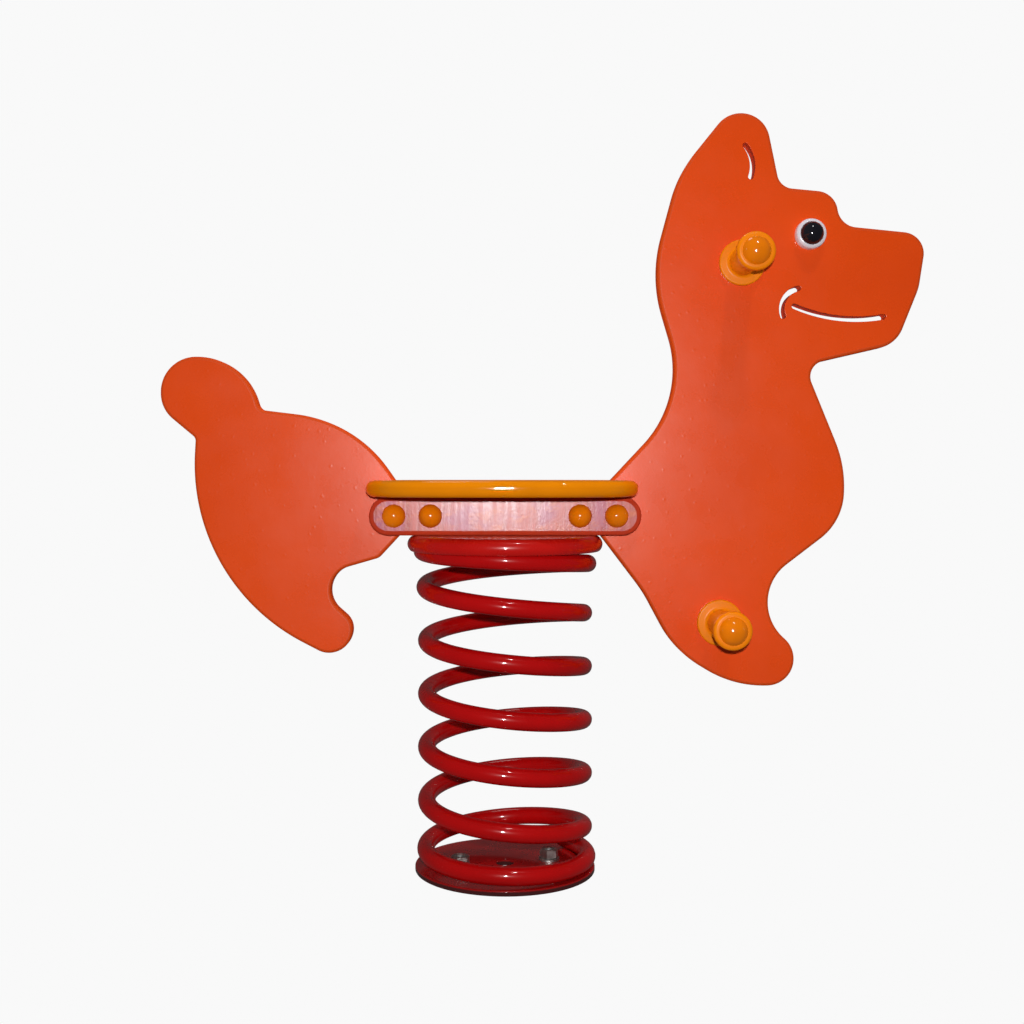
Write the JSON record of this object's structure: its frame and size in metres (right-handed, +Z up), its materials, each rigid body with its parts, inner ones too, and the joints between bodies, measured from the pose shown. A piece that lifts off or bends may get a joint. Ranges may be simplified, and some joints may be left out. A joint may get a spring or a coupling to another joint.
{
  "type": "spring rider",
  "caption": "Playground spring rider: a dog-shaped body of two upright panels with a seat, hand grips and foot pegs, rocking on a coil spring with a bolt-down base plate.",
  "frame": {"origin": "centre of the base plate's open hole, on its underside", "axes": "+X the way the rider faces, +Y to the rider's left, +Z up"},
  "size_m": [0.866, 0.25, 0.8587],
  "materials": {
    "frame_red": "gloss",
    "panel_orange": "fine grain",
    "rail_orange": "rubbed",
    "seat_yellow": "satin",
    "grip_yellow": "gloss",
    "eye_white": "gloss",
    "eye_black": "gloss",
    "zinc": "zinc plated"
  },
  "bodies": {
    "base": {"base_plate": "frame_red", "anchor_washers": "zinc", "anchor_nuts": "zinc"},
    "coil": {"spring": "frame_red"},
    "rider": {"upper_cup": "frame_red", "saddle_tube": "frame_red", "rail_left": "rail_orange", "rail_right": "rail_orange", "front_panel": "panel_orange", "rear_panel": "panel_orange", "seat": "seat_yellow", "seat_bolts": "zinc", "seat_washers": "zinc", "seat_nuts": "zinc", "seat_plugs": "seat_yellow", "rail_bolts": "zinc", "rail_washers": "zinc", "rail_nuts": "zinc", "rail_caps": "grip_yellow", "hand_grip_left": "grip_yellow", "hand_grip_right": "grip_yellow", "hand_bolt": "zinc", "hand_washers": "zinc", "hand_nut": "zinc", "hand_caps": "grip_yellow", "foot_peg_left": "grip_yellow", "foot_peg_right": "grip_yellow", "foot_bolt": "zinc", "foot_washers": "zinc", "foot_nut": "zinc", "foot_caps": "grip_yellow", "eye_whites": "eye_white", "eye_bolt": "zinc", "eye_washers": "zinc", "eye_nut": "zinc", "eye_pupils": "eye_black"}
  },
  "joints": [
    {"name": "rock", "type": "hinge", "parent": "base", "child": "coil", "pos_m": [0, 0, 0.11], "axis": [0, 1, 0], "range_deg": [-25, 25], "stiffness_Nm_per_rad": 430, "springref_deg": -0.69, "deforming": ["spring"]},
    {"name": "sway", "type": "hinge", "parent": "coil", "child": "rider", "pos_m": [0, 0, 0.28], "axis": [1, 0, 0], "range_deg": [-15, 15], "stiffness_Nm_per_rad": 430, "deforming": ["spring"]}
  ]
}
